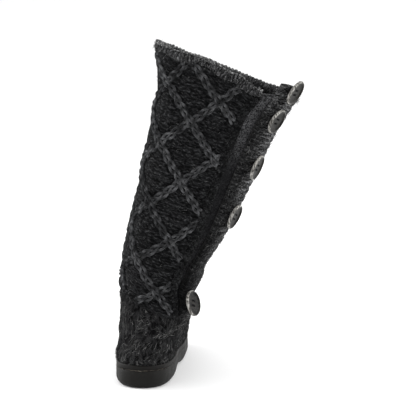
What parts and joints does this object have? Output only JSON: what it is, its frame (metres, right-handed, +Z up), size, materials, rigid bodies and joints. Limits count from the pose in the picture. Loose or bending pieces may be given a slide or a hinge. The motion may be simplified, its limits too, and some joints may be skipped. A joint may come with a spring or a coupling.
{
  "type": "knee-high boot",
  "caption": "Knee-high knit boot for the right foot: brushed knit foot on a flat moulded sole, trellis-cabled shaft with a buttoned rib band up its outer side.",
  "frame": {"origin": "on the floor under the middle of the heel, at the sole's resting face", "axes": "+Z up, toe towards -Y, outer side of the right boot towards -X"},
  "size_m": [0.2203, 0.2661, 0.3787],
  "materials": {
    "sole_rubber": "matte moulded foam rubber, warm black, dusty at its upper edge",
    "foxing_rubber": "matte dark strip",
    "lining": "short dark pile",
    "brushed_knit": "brushed, hairy charcoal knit with pale fibres",
    "cable_knit": "marled charcoal knit, purl ground with raised cables",
    "fleece": "dark smooth fleece",
    "rib_knit": "charcoal garter and rib knit with pale fibres",
    "button_horn": "mottled horn-like disc with a pale glossy rim"
  },
  "bodies": {
    "root": {"outsole": "sole_rubber", "foxing_band": "foxing_rubber", "insole": "lining", "foot_upper": "brushed_knit", "shaft": "cable_knit", "gusset": "fleece", "button_band": "rib_knit", "collar_roll": "rib_knit", "button_1": "button_horn", "button_2": "button_horn", "button_3": "button_horn", "button_4": "button_horn", "button_5": "button_horn"}
  },
  "joints": []
}
